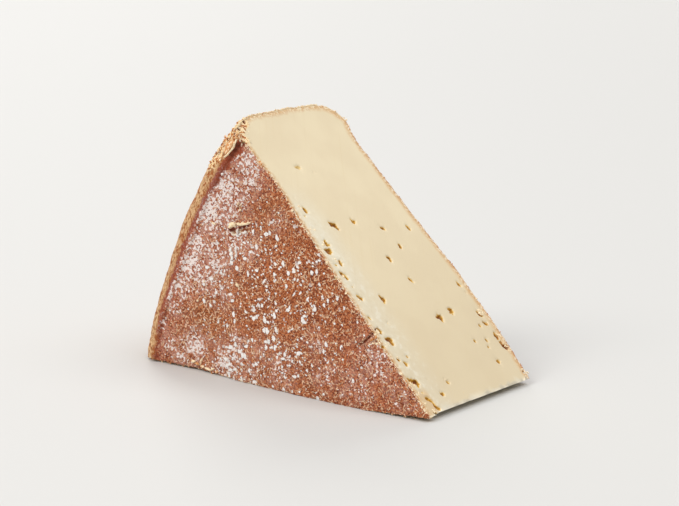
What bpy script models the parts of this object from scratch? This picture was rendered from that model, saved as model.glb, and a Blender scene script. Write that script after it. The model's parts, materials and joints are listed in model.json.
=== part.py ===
"""A wedge of vacherin fribourgeois, cut from a wheel and stood on one of its two cut faces.

The wheel is turned about its axis and roughened, cut down to a sector, and then opened up with the eyes,
cracks and chips that the cut shows. Metres, +Z up. The wheel's axis runs along Y through the wedge's tip,
the heel points to -X, and the front face, which was the wheel's own flat face, looks to -Y.
"""
import math
import random

import bmesh
import bpy
from mathutils import Matrix, Vector, noise

# The wheel, as radius and height from its middle; the front face is the positive side
WHEEL_PROFILE = (
    (0.0000, 0.0444), (0.0400, 0.0434), (0.0900, 0.0414), (0.1220, 0.0396), (0.1350, 0.0412),
    (0.1425, 0.0410), (0.1495, 0.0441), (0.1572, 0.0384), (0.1628, 0.0255), (0.1647, 0.0050),
    (0.1660, -0.0200), (0.1662, -0.0330), (0.1631, -0.0405), (0.1565, -0.0460), (0.1490, -0.0447),
    (0.1400, -0.0440), (0.1150, -0.0453), (0.0800, -0.0483), (0.0550, -0.0500), (0.0250, -0.0493),
    (0.0000, -0.0468))
CREASE_RADIUS = 0.149
PROFILE_STEP = 0.0035
TURN_STEPS = 240
VOXEL = 0.0041

# The sector that was cut out, how its lower cut eases up off what it rests on, and how the wedge has
# settled; the heel's flattest place is a share of the sector's angle up from the lower cut
SECTOR_ANGLE = math.radians(45.4)
WORK_SIZE = 0.5
BASE_GRID = 0.008
BASE_LENGTH = 0.38
BASE_WIDTH = 0.13
BASE_DEPTH = 0.20
CUT_BELOW_AXIS = 0.0016
TIP_LIFT = 0.0025
TIP_CORNER_LIFT = 0.0014
TIP_EASE = 0.032
FRONT_LIFT = 0.0009
FRONT_EASE = 0.016
FRONT_LIFT_START = 0.100
FRONT_EDGE = 0.046
SAG = 0.0042
HEEL_FLATTEN = 0.0042
HEEL_FLATTEST = 0.38
HEEL_ROUND_AGAIN = 1.2
HEEL_FLATTEN_FROM = 0.090

# Relief of the rind: height and spacing of the lumps
LUMPS = ((0.0007, 0.021), (0.00045, 0.008))
SEED = 29

# Larger eyes of the upper cut: distance from the tip, place across, length, width, and the turn in degrees
# of the length from along the cut towards the front
EYES = (
    (0.1310, -0.0160, 0.0045, 0.0030, 84), (0.1083, -0.0315, 0.0040, 0.0026, 0),
    (0.0982, -0.0187, 0.0065, 0.0028, 43), (0.0988, -0.0032, 0.0036, 0.0026, 60),
    (0.0927, 0.0153, 0.0036, 0.0026, 50), (0.0905, 0.0358, 0.0040, 0.0022, 32),
    (0.0818, 0.0184, 0.0044, 0.0020, 4), (0.0765, 0.0040, 0.0044, 0.0024, 23),
    (0.0902, -0.0322, 0.0034, 0.0026, 20), (0.0868, -0.0348, 0.0042, 0.0030, 110),
    (0.0792, -0.0321, 0.0042, 0.0022, 0), (0.0742, -0.0362, 0.0034, 0.0024, 20),
    (0.0718, -0.0346, 0.0036, 0.0024, 15), (0.0640, 0.0093, 0.0038, 0.0024, 20),
    (0.0608, -0.0352, 0.0046, 0.0022, 20), (0.0579, -0.0209, 0.0046, 0.0030, 25),
    (0.0443, -0.0376, 0.0046, 0.0028, 53), (0.0385, -0.0351, 0.0052, 0.0036, 47),
    (0.0420, 0.0111, 0.0054, 0.0036, 32), (0.0442, 0.0226, 0.0044, 0.0028, 32),
    (0.0561, 0.0439, 0.0036, 0.0024, 38), (0.0388, 0.0430, 0.0048, 0.0022, 38),
    (0.0337, 0.0427, 0.0042, 0.0022, 50), (0.0260, 0.0440, 0.0046, 0.0030, 20),
    (0.0210, 0.0450, 0.0056, 0.0030, 45), (0.0264, -0.0346, 0.0034, 0.0026, 10),
    (0.0192, -0.0394, 0.0038, 0.0024, 40), (0.0169, -0.0368, 0.0050, 0.0034, 25),
    (0.0131, -0.0154, 0.0040, 0.0018, 50), (0.0090, -0.0246, 0.0040, 0.0020, 90))
BASE_EYES = 6
BASE_EYE_ROOM = (0.040, 0.130, -0.034, 0.034)
EYE_DEPTH = 0.62
EYE_SINK = 0.25

# Cracks and chips of the front face: back from the tip line, up, length, width, depth, and the degrees by
# which the length rises towards the tip
FRONT_CRACKS = (
    (0.0335, 0.0280, 0.0085, 0.0011, 0.0030, 36), (0.0512, 0.0517, 0.0050, 0.0013, 0.0030, 25),
    (0.0950, 0.0960, 0.0055, 0.0011, 0.0025, -45), (0.1076, 0.0781, 0.0030, 0.0018, 0.0015, 70))
TIP_CRACK = ((0.0076, -0.0358, 0.0058, 0.0014, 61), (0.0050, -0.0338, 0.0050, 0.0014, 172))

# Crumbly corner where heel, front face and upper cut meet: radius, degrees below the cut, across, size
CORNER_PITS = (
    (0.1590, 0.0, -0.0340, 0.0038), (0.1588, 1.2, -0.0372, 0.0030), (0.1585, 3.4, -0.0376, 0.0040),
    (0.1590, 5.0, -0.0366, 0.0028), (0.1593, 6.7, -0.0368, 0.0036), (0.1600, 8.6, -0.0362, 0.0028))
PIT_SQUASH = (1.0, 0.7, 0.6)

# Raised flakes of the front face: back from the tip line, up, length, height, thickness and turn
FLAKES = (
    (0.1060, 0.0680, 0.0118, 0.0024, 0.0034, 12), (0.0292, 0.0283, 0.0048, 0.0024, 0.0024, -52),
    (0.1050, 0.0420, 0.0040, 0.0014, 0.0024, -50), (0.1220, 0.0690, 0.0044, 0.0014, 0.0024, -25))
HEEL_FLAP = (0.1548, 8.0, -0.0388, 0.0100, 0.0040, 0.0030)


def smooth_through(points, step):
    """Points spaced by about the step along a smooth curve through the given points."""
    padded = [points[0]] + list(points) + [points[-1]]
    path = []
    for before, start, end, after in zip(padded, padded[1:], padded[2:], padded[3:]):
        before, start, end, after = (Vector(point) for point in (before, start, end, after))
        slope_in = (end - before) / 2
        slope_out = (after - start) / 2
        count = max(1, round((end - start).length / step))
        for index in range(count):
            t = index / count
            path.append(start * (1 + 2 * t) * (1 - t) ** 2 + end * t * t * (3 - 2 * t)
                        + slope_in * t * (1 - t) ** 2 - slope_out * t * t * (1 - t))
    path.append(Vector(points[-1]))
    return path


def ease(value, start, end):
    """Zero at the start, one at the end, and smooth between them."""
    t = min(1.0, max(0.0, (value - start) / (end - start)))
    return t * t * (3 - 2 * t)


def add_object(name, mesh, collection, parent):
    """A new object for the mesh, held by the parent."""
    item = bpy.data.objects.new(name, mesh)
    collection.objects.link(item)
    item.parent = parent
    return item


def evaluated_mesh(item):
    """The object's mesh with its modifiers worked in."""
    bpy.context.view_layer.update()
    return bpy.data.meshes.new_from_object(item.evaluated_get(bpy.context.evaluated_depsgraph_get()))


def principled(name, colour, roughness):
    """A plain material of one colour."""
    material = bpy.data.materials.new(name)
    material.use_nodes = True
    shader = material.node_tree.nodes["Principled BSDF"]
    shader.inputs["Base Color"].default_value = (*colour, 1)
    shader.inputs["Roughness"].default_value = roughness
    return material


def turned_wheel(collection):
    """The whole wheel lying flat, turned from its profile and remeshed with even faces."""
    outline = smooth_through(WHEEL_PROFILE, PROFILE_STEP)
    mesh = bpy.data.meshes.new("wheel_profile")
    edges = [(index, index + 1) for index in range(len(outline) - 1)]
    mesh.from_pydata([(radius, 0, height) for radius, height in outline], edges, [])
    profile = add_object("wheel_profile", mesh, collection, None)
    screw = profile.modifiers.new("turn", "SCREW")
    screw.steps = TURN_STEPS
    screw.render_steps = TURN_STEPS
    screw.use_merge_vertices = True
    screw.merge_threshold = 0.00005
    remesh = profile.modifiers.new("even_faces", "REMESH")
    remesh.mode = "VOXEL"
    remesh.voxel_size = VOXEL
    wheel = evaluated_mesh(profile)
    bpy.data.objects.remove(profile)
    bpy.data.meshes.remove(mesh)
    return wheel


def rind_point(point, normal):
    """Where a point of the true wheel lies once the rind is lumpy and the wedge has sagged."""
    moved = point.copy()
    for height, spacing in LUMPS:
        moved += normal * height * noise.noise(point / spacing + Vector((SEED, 0, 0)))
    radius = math.hypot(point.x, point.z)
    turn = min(1.0, max(0.0, math.atan2(point.z, -point.x) / SECTOR_ANGLE))
    inward = HEEL_FLATTEN * ease(turn, 0.0, HEEL_FLATTEST) * ease(turn, HEEL_ROUND_AGAIN, HEEL_FLATTEST)
    inward *= ease(radius, HEEL_FLATTEN_FROM, CREASE_RADIUS)
    moved -= Vector((point.x, 0, point.z)).normalized() * inward
    belly = math.sin(math.pi * min(1.0, radius / CREASE_RADIUS))
    moved.y -= SAG * belly * (1 - turn) * ease(-point.y, 0.0, FRONT_EDGE)
    return moved


def on_front(back, up):
    """The point of the roughened front face at a distance back from the tip line and up."""
    radius = math.hypot(back, up)
    front = [point for point in WHEEL_PROFILE if point[1] > 0]
    for (near, height), (far, next_height) in zip(front, front[1:]):
        if near <= radius <= far:
            level = height + (next_height - height) * (radius - near) / (far - near)
    return rind_point(Vector((-back, -level, up)), Vector((0, -1, 0)))


def stand_and_roughen(wheel):
    """Stands the wheel up on its edge and gives its rind the relief."""
    wheel.transform(Matrix.Rotation(math.radians(90), 4, "X"))
    moved = [rind_point(vertex.co, vertex.normal) for vertex in wheel.vertices]
    for vertex, place in zip(wheel.vertices, moved):
        vertex.co = place
    wheel.update()


def base_height(x, y):
    """Height of the lower cut face: flat, but eased up at the tip and along part of the front edge."""
    corner = ease(-y, FRONT_EDGE - FRONT_EASE, FRONT_EDGE)
    tip = (TIP_LIFT + (TIP_CORNER_LIFT - TIP_LIFT) * corner) * ease(x, -TIP_EASE, 0.0)
    front = FRONT_LIFT * corner * ease(-x, FRONT_LIFT_START, FRONT_LIFT_START + TIP_EASE)
    return max(tip, front) - CUT_BELOW_AXIS


def base_cutter(collection, parent, paste):
    """A thick slab whose top is the lower cut face."""
    form = bmesh.new()
    columns = round(BASE_LENGTH / BASE_GRID)
    rows = round(BASE_WIDTH / BASE_GRID)
    grid = bmesh.ops.create_grid(form, x_segments=columns, y_segments=rows, size=0.5)
    for vertex in grid["verts"]:
        x = vertex.co.x * BASE_LENGTH
        y = vertex.co.y * BASE_WIDTH
        vertex.co = (x, y, base_height(x, y))
    mesh = bpy.data.meshes.new("lower_cut")
    form.to_mesh(mesh)
    form.free()
    cutter = add_object("lower_cut", mesh, collection, parent)
    solidify = cutter.modifiers.new("thickness", "SOLIDIFY")
    solidify.thickness = BASE_DEPTH
    solidify.offset = -1
    mesh.materials.append(paste)
    return cutter


def box_cutter(name, size, place, turn, collection, parent, paste):
    """A box that cuts away everything on one side."""
    form = bmesh.new()
    bmesh.ops.create_cube(form, size=size)
    mesh = bpy.data.meshes.new(name)
    form.to_mesh(mesh)
    form.free()
    mesh.materials.append(paste)
    cutter = add_object(name, mesh, collection, parent)
    cutter.location = place
    cutter.rotation_euler = (0, turn, 0)
    return cutter


def lump(name, axes, place, turning, collection, parent, material, draw):
    """A squashed, slightly uneven ball: a cutter for an eye or a crack, or a flake to be joined on."""
    form = bmesh.new()
    ball = bmesh.ops.create_icosphere(form, subdivisions=2, radius=0.5)
    for vertex in ball["verts"]:
        vertex.co *= draw.uniform(0.90, 1.08)
        vertex.co = Vector([part * size for part, size in zip(vertex.co, axes)])
    mesh = bpy.data.meshes.new(name)
    form.to_mesh(mesh)
    form.free()
    mesh.materials.append(material)
    item = add_object(name, mesh, collection, parent)
    item.matrix_local = Matrix.Translation(place) @ turning.to_4x4()
    return item


def cut_axes():
    """Directions of the upper cut: along it from the tip, across it, and out of it."""
    along = Vector((-math.cos(SECTOR_ANGLE), 0, math.sin(SECTOR_ANGLE)))
    across = Vector((0, 1, 0))
    return along, across, across.cross(along)


def upper_eyes(collection, parent, paste, draw):
    """The larger eyes of the upper cut face, and the crack near its tip."""
    along, across, out = cut_axes()
    frame = Matrix((along, -across, out)).transposed()
    marks = [(*eye, "eye") for eye in EYES] + [(*crack, "crack") for crack in TIP_CRACK]
    for index, (distance, side, length, width, turn, kind) in enumerate(marks):
        depth = EYE_DEPTH * (length + width)
        place = along * distance + across * side - out * depth * EYE_SINK
        turning = frame @ Matrix.Rotation(math.radians(turn), 3, "Z")
        lump(f"{kind}_{index}", (length, width, depth), place, turning, collection, parent, paste, draw)


def base_eyes(collection, parent, paste, draw):
    """A few eyes in the lower cut face, clear of its middle."""
    near, far, low, high = BASE_EYE_ROOM
    for index in range(BASE_EYES):
        side = draw.choice((low, high)) * draw.uniform(0.75, 1.0)
        x = -near - (far - near) * (index + draw.random()) / BASE_EYES
        place = Vector((x, side, base_height(x, side)))
        length = draw.uniform(0.0030, 0.0048)
        width = length * draw.uniform(0.55, 0.8)
        turning = Matrix.Rotation(draw.uniform(0, math.pi), 3, "Z")
        lump(f"base_eye_{index}", (length, width, width), place, turning, collection, parent, paste, draw)


def front_turning(turn):
    """Turns a lump's length along the front face and its depth into it."""
    return Matrix.Rotation(math.radians(-turn), 3, "Y") @ Matrix.Rotation(math.radians(90), 3, "X")


def front_cracks(collection, parent, paste, draw):
    """Cracks and small chips in the front face and its upper edge."""
    for index, (back, up, length, width, depth, turn) in enumerate(FRONT_CRACKS):
        lump(f"front_crack_{index}", (length, width, depth), on_front(back, up), front_turning(turn),
             collection, parent, paste, draw)


def heel_place(radius, below, side):
    """The point of the roughened rind at a radius, some degrees below the upper cut."""
    angle = SECTOR_ANGLE - math.radians(below)
    outward = Vector((-math.cos(angle), 0, math.sin(angle)))
    return rind_point(outward * radius + Vector((0, side, 0)), outward)


def corner_pits(collection, parent, paste, draw):
    """Pits in the crumbly corner of the rind."""
    for index, (radius, below, side, size) in enumerate(CORNER_PITS):
        axes = [size * squash for squash in PIT_SQUASH]
        turning = Matrix.Rotation(draw.uniform(0, math.pi), 3, "Y")
        lump(f"corner_pit_{index}", axes, heel_place(radius, below, side), turning,
             collection, parent, paste, draw)


def flakes(collection, parent, rind, draw):
    """Flakes that stand proud of the front face, and the flap over the heel's edge."""
    for index, (back, up, length, height, thickness, turn) in enumerate(FLAKES):
        lump(f"flake_{index}", (length, height, thickness), on_front(back, up),
             front_turning(turn), collection, parent, rind, draw)
    radius, below, side, length, width, thickness = HEEL_FLAP
    turning = Matrix.Rotation(SECTOR_ANGLE - math.radians(below + 90), 3, "Y")
    lump("heel_flap", (length, width, thickness), heel_place(radius, below, side), turning,
         collection, parent, rind, draw)


def boolean(item, name, operation, cutters):
    """A Boolean step with one object or with a collection of them."""
    step = item.modifiers.new(name, "BOOLEAN")
    step.operation = operation
    step.solver = "MANIFOLD"
    step.material_mode = "TRANSFER"
    if isinstance(cutters, bpy.types.Collection):
        step.operand_type = "COLLECTION"
        step.collection = cutters
    else:
        step.object = cutters


def stand_on_origin(item, axis):
    """Moves the wheel's axis so that the middle of the wedge's underside is at the origin."""
    bpy.context.view_layer.update()
    shape = evaluated_mesh(item)
    corners = [item.matrix_world @ vertex.co for vertex in shape.vertices]
    lowest = Vector([min(corner[part] for corner in corners) for part in range(3)])
    highest = Vector([max(corner[part] for corner in corners) for part in range(3)])
    bpy.data.meshes.remove(shape)
    middle = (lowest + highest) / 2
    axis.location = (-middle.x, -middle.y, -lowest.z)
    bpy.context.view_layer.update()


def new_collection(name):
    """A collection in the scene."""
    collection = bpy.data.collections.new(name)
    bpy.context.scene.collection.children.link(collection)
    return collection


def hide_tools(*collections):
    """Marks cutters and joined-on lumps as tools."""
    for collection in collections:
        for item in collection.objects:
            item.hide_render = True
            item.display_type = "WIRE"


def build():
    """Makes the wedge."""
    for item in list(bpy.data.objects):
        bpy.data.objects.remove(item)
    cheese = new_collection("vacherin_fribourgeois")
    tools = new_collection("cut_tools")
    hollows = new_collection("hollows")
    lumps = new_collection("raised_flakes")
    rind = principled("rind", (0.42, 0.17, 0.10), 0.75)
    paste = principled("paste", (0.80, 0.70, 0.48), 0.45)
    draw = random.Random(SEED)

    axis = bpy.data.objects.new("wheel_axis", None)
    cheese.objects.link(axis)
    shape = turned_wheel(cheese)
    stand_and_roughen(shape)
    shape.name = "cheese_wedge"
    shape.materials.append(rind)
    wedge = add_object("cheese_wedge", shape, cheese, axis)

    base = base_cutter(tools, axis, paste)
    above = cut_axes()[2] * WORK_SIZE / 2
    top = box_cutter("upper_cut", WORK_SIZE, above, SECTOR_ANGLE, tools, axis, paste)
    flakes(lumps, axis, rind, draw)
    upper_eyes(hollows, axis, paste, draw)
    base_eyes(hollows, axis, paste, draw)
    front_cracks(hollows, axis, paste, draw)
    corner_pits(hollows, axis, paste, draw)
    hide_tools(tools, hollows, lumps)

    boolean(wedge, "lower_cut", "DIFFERENCE", base)
    boolean(wedge, "upper_cut", "DIFFERENCE", top)
    boolean(wedge, "join_flakes", "UNION", lumps)
    boolean(wedge, "open_eyes", "DIFFERENCE", hollows)
    stand_on_origin(wedge, axis)
    return wedge


build()
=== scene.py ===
"""The looks of a wedge of vacherin fribourgeois: its rind, paste, eyes, flakes and crumbs, around the solid.

The wedge is shaped about the wheel's axis, as the solid is, and then moved onto the solid's box. There +Z is
up, the heel points to -X, the broad rind face looks to -Y, and places on it are given as "back" from the tip
line and "up". Places on the upper cut are given as "along" it from the tip and "across" it towards +Y.
Lengths are metres, but millimetres in the tables, in the fields of the surface and where a comment says so.
"""
import json
import random
from math import cos, degrees, hypot, pi, radians, sin
from types import SimpleNamespace

import bmesh
import bpy
import numpy as np
from mathutils import Matrix, Vector, noise
from mathutils.bvhtree import BVHTree

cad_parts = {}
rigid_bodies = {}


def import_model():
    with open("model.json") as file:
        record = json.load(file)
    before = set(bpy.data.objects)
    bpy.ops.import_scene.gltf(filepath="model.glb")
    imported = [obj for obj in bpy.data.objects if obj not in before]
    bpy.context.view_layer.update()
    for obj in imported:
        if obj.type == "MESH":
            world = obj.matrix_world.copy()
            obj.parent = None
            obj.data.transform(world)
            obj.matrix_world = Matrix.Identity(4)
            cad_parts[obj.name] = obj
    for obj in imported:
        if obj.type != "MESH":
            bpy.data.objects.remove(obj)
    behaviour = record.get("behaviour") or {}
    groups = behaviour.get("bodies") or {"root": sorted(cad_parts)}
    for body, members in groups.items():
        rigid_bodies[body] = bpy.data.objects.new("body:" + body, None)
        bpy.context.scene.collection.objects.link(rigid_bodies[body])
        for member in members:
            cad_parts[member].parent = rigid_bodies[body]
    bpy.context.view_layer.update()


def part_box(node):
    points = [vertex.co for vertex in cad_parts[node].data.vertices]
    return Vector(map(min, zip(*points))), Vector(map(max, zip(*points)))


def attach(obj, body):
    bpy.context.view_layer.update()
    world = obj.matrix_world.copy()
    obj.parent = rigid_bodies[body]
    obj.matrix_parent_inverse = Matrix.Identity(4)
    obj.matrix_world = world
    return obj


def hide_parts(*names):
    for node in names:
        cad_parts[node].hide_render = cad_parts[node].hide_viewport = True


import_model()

MM = 0.001
NODE = "cheese_wedge"
SEED = 29

# The wheel, as radius and height from its middle; the front face is the positive side
WHEEL_PROFILE = (
    (0, 44.4), (40, 43.4), (90, 41.4), (122, 39.8), (135, 41.1), (145.5, 42), (148.3, 42.3), (149.7, 43.3),
    (157.2, 38.4), (162.8, 25.5), (164.7, 5), (166, -20), (166.2, -33), (163.1, -40.5), (156.5, -46),
    (149, -44.7), (140, -44), (115, -45.3), (80, -48.3), (55, -50), (25, -49.3), (0, -46.8))
CREASE_RADIUS = 0.149
SECTOR_ANGLE = radians(45.4)

# Directions of the upper cut: along it from the tip, across it, and out of it
ALONG = Vector((-cos(SECTOR_ANGLE), 0, sin(SECTOR_ANGLE)))
ACROSS = Vector((0, 1, 0))
OUT = ACROSS.cross(ALONG)

# Lumps of the whole rind: height and spacing
LUMPS = ((0.7, 21), (0.45, 8))

# Where the heel's strip begins on the broad face: degrees below the upper cut, and radius; and the ridge that
# is moved there, with the radii between which it fades in and out
BORDER = ((0, 149), (9, 147.1), (19, 145.9), (27, 146.6), (34, 147.9), (45, 149.2))
RIDGE_RADIUS = 0.1485
RIDGE_FROM = (0.128, 0.144)
RIDGE_TO = (0.162, 0.151)

# The knife's way over the upper cut, turned from along it towards its far side, and the share of the distance
# along that way that the streaks' noise is given, so that it is drawn out
KNIFE_TURN = radians(38.6)
KNIFE_DRAWING = 0.02

# How the lower cut eases up off what it rests on, and how the wedge has settled
CUT_BELOW_AXIS = 0.0016
TIP_LIFT = 0.0025
TIP_CORNER_LIFT = 0.0014
TIP_EASE = 0.032
FRONT_LIFT = 0.0009
FRONT_EASE = 0.016
FRONT_LIFT_START = 0.1
FRONT_EDGE = 0.046
SAG = 0.0042
HEEL_FLATTEN = 0.0042
HEEL_FLATTEST = 0.38
HEEL_ROUND_AGAIN = 1.2
HEEL_FLATTEN_FROM = 0.09

# Where the wheel's axis lies in the solid's box: the tip is at its end, and the broad face reaches this far
FRONT_REACH = 0.0467

# Fineness of the wedge's surface, and the most faces it keeps
PROFILE_STEP = 0.0009
TURN_STEP = radians(0.33)
TURN_MARGIN = radians(8)
VOXEL = 0.00052
MOST_TRIANGLES = 194000
MOST_OUTSIDE = 0.002
BASE_GRID = 0.003
SLAB_LENGTH = 0.38
SLAB_WIDTH = 0.13
SLAB_DEPTH = 0.2
WORK_SIZE = 0.5
LUMP_FINENESS = 3
LUMP_WAVES = 3.2
CRUMB_WAVES = 3.5

# Fine relief of the surface, from coarse to fine: spacing, and a shift that sets each apart
RELIEF_NOISE = ((5, 3), (2.2, 7), (1.1, 11))

# Eyes of the upper cut: along, across, length, width, and the turn in degrees of the length from along the
# cut towards the front; first the larger ones
EYES = (
    (131, -16, 4.6, 2.2, 84), (108.3, -31.5, 4, 2.6, 0), (98.2, -18.7, 6.5, 2.8, 43),
    (98.8, -3.2, 3.6, 2.6, 60), (92.7, 15.3, 3.6, 2.6, 50), (90.5, 35.8, 4, 2.2, 32), (81.8, 18.4, 4.4, 2, 4),
    (76.5, 4, 4.4, 2.4, 23), (90.2, -32.4, 4.2, 3, 20), (86.8, -34.6, 5, 3.4, 110),
    (79.2, -32.1, 4.2, 2.2, 0), (74.2, -36.2, 3.4, 2.4, 20), (71.8, -34.6, 3.6, 2.4, 15),
    (64, 9.3, 3.8, 2.4, 20), (60.8, -35.2, 4.6, 2.2, 20), (57.9, -20.9, 4.6, 3, 25),
    (44.3, -37.6, 4.6, 2.8, 53), (38.5, -35.1, 5.2, 3.6, 47), (42, 11.1, 5.4, 3.6, 32),
    (44.2, 22.6, 4.4, 2.8, 32), (56.1, 43.9, 3.6, 2.4, 38), (38.8, 43, 4.8, 2.2, 38),
    (33.7, 42.7, 4.2, 2.2, 50), (26, 44, 4.6, 3, 20), (21, 45, 5.6, 3, 45), (26.4, -34.6, 3.4, 2.6, 10),
    (19.2, -39.4, 3.8, 2.4, 40), (16.9, -36.8, 5, 3.4, 25), (13.1, -15.4, 4, 1.8, 50), (9, -24.6, 4, 2, 90),
    (127.8, -7.2, 3.6, 1.4, 50), (122, -29, 2, 1.4, 30), (115, -33.5, 2.2, 1.4, 10),
    (105.5, -34.5, 2.2, 1.6, 40), (89.8, 36.4, 2, 1.6, 0), (78.6, -36.3, 3, 1.5, 20),
    (66.8, -35.6, 1.6, 1.4, 0), (51, -38.4, 3, 1.5, 30), (46.7, -28.2, 2, 1.8, 0), (37, -42, 3, 2, 50),
    (33, -40.8, 2, 1.4, 20), (29.3, -30.8, 2.6, 1.5, 25), (29, -38, 3, 1.6, 50), (27.3, 25, 2.6, 2.2, 0),
    (25.7, 34.8, 2.8, 2.2, 20), (22.3, 32.2, 2.2, 1.8, 0), (51, 44.6, 2.6, 1.4, 40), (49, 43, 1.8, 1.4, 0),
    (33.4, 37.4, 3, 1.8, 40), (12.5, -36.7, 3, 1.1, 30), (5, 45.8, 3, 1.8, 20), (17.1, -28.3, 2.2, 1.4, 60),
    (22.4, -34.5, 2, 1.3, 15), (14.8, 31.9, 3.2, 2.6, 80), (39.6, 44.7, 1.3, 1.1, 0), (46.4, 48, 2, 1.1, 50),
    (12.2, -36.9, 3.4, 1, 60), (19.1, 44.7, 2.4, 1.8, 40), (7, 46.7, 1.6, 1.2, 30), (1.6, -38.2, 3, 1.5, 60))

# An eye's depth as a share of its length and width, its least depth, and how much of it sinks under the cut;
# its parts as shift and share of the length; and its nooks as count, reach and size
EYE_DEPTH = 0.36
LEAST_EYE_DEPTH = 0.0026
EYE_SINK = 0.22
EYE_PARTS = ((0, 0.82), (0.34, 0.52), (-0.32, 0.46))
EYE_PART_WIDENING = 1.25
EYE_SLIP = 0.3
EYE_UNEVENNESS = 0.6
EYE_NOOKS = (3, 0.44, 0.3)
NOOK_SHAPE = (1, 0.7, 0.7)

# Eyes of the lower cut: how many, the room for them back from the tip and to the sides, and their sizes
BASE_EYES = 9
BASE_EYE_ROOM = (0.03, 0.135, 0.04)
BASE_EYE_LENGTH = (0.0026, 0.0048)
BASE_EYE_WIDTH = (0.55, 0.8)

# Cracks and chips of the broad face: back, up, length, width, depth, and degrees of rise towards the tip
FRONT_CRACKS = (
    (51.2, 51.7, 5, 1.4, 3.4, 25), (95, 96, 5.5, 1.2, 2.6, -45), (106.8, 76.5, 3, 1.8, 1.8, 70),
    (109.6, 65, 3.6, 2.6, 2.4, 0), (104.3, 66.4, 7.4, 2.4, 2.2, 8), (53, 3.8, 1.2, 1, 2, 0),
    (105, 40.2, 2.6, 1.4, 1.8, -50), (96, 86, 1.4, 1, 1.4, 0), (128.6, 30.4, 1.2, 1, 1.4, 0))

# Paths of the longer cracks, as back, up, width on the broad face and along, across, width on the cut
NOTCH_CRACKS = (
    ((39.4, 25, 1), (37.2, 25.3, 1.3), (35.1, 26, 1.4), (33.4, 28.1, 1.4), (31.7, 29.8, 1.5),
     (30.7, 31.4, 1.7)),
    ((32.2, 26.9, 1.1), (30.2, 27.6, 1.3), (28.4, 28, 1.2)))
NOTCH = ((32, 28.5, 6, 1),)
TIP_CRACK = (
    (10, -39.2, 1.2), (9, -37.4, 2), (8.8, -36.2, 2.4), (7.8, -35.4, 1.8), (6.7, -34.6, 1.3),
    (5.8, -34.7, 1.9), (4.7, -34.7, 2.5), (3.6, -34.5, 2.2), (2.9, -33.3, 1.2))
CRACK_DEPTH = 2.4

# Pits of the crumbly corner at heel, broad face and upper cut: radius, degrees below the cut, across, size
CORNER_PITS = (
    (159, 0.2, -32.5, 2.6), (156.2, 0.2, -36.6, 2), (154.5, 0.2, -39, 2.1), (154.4, 0.9, -40.6, 2.4),
    (154.6, 1.9, -40.4, 2.2), (155.2, 2.9, -39.8, 2.4), (155.6, 4.2, -39.4, 2.6), (147.8, 0.2, -41.2, 2),
    (156.8, 0.9, -38.6, 2.6), (155.4, 2.1, -39.6, 2.4), (157.6, 0.5, -36, 2.4), (159, 1.2, -35.2, 2.3),
    (158.8, 3.4, -36.6, 2.5), (159.2, 5.4, -36, 2.3), (160, 8, -35, 2.6), (161.2, 3, -32, 2.2),
    (160.4, 6.6, -34, 2), (156, 5.6, -39.4, 2.6))
PIT_SQUASH = (1, 0.75, 1.25)
PIT_CLEARANCE = 0.75

# Torn crust of that corner: how far across its middle is, and its reach in degrees below the cut and across
CORNER_SIDE = 39
CORNER_REACH = (11.5, 12.5)

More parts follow.
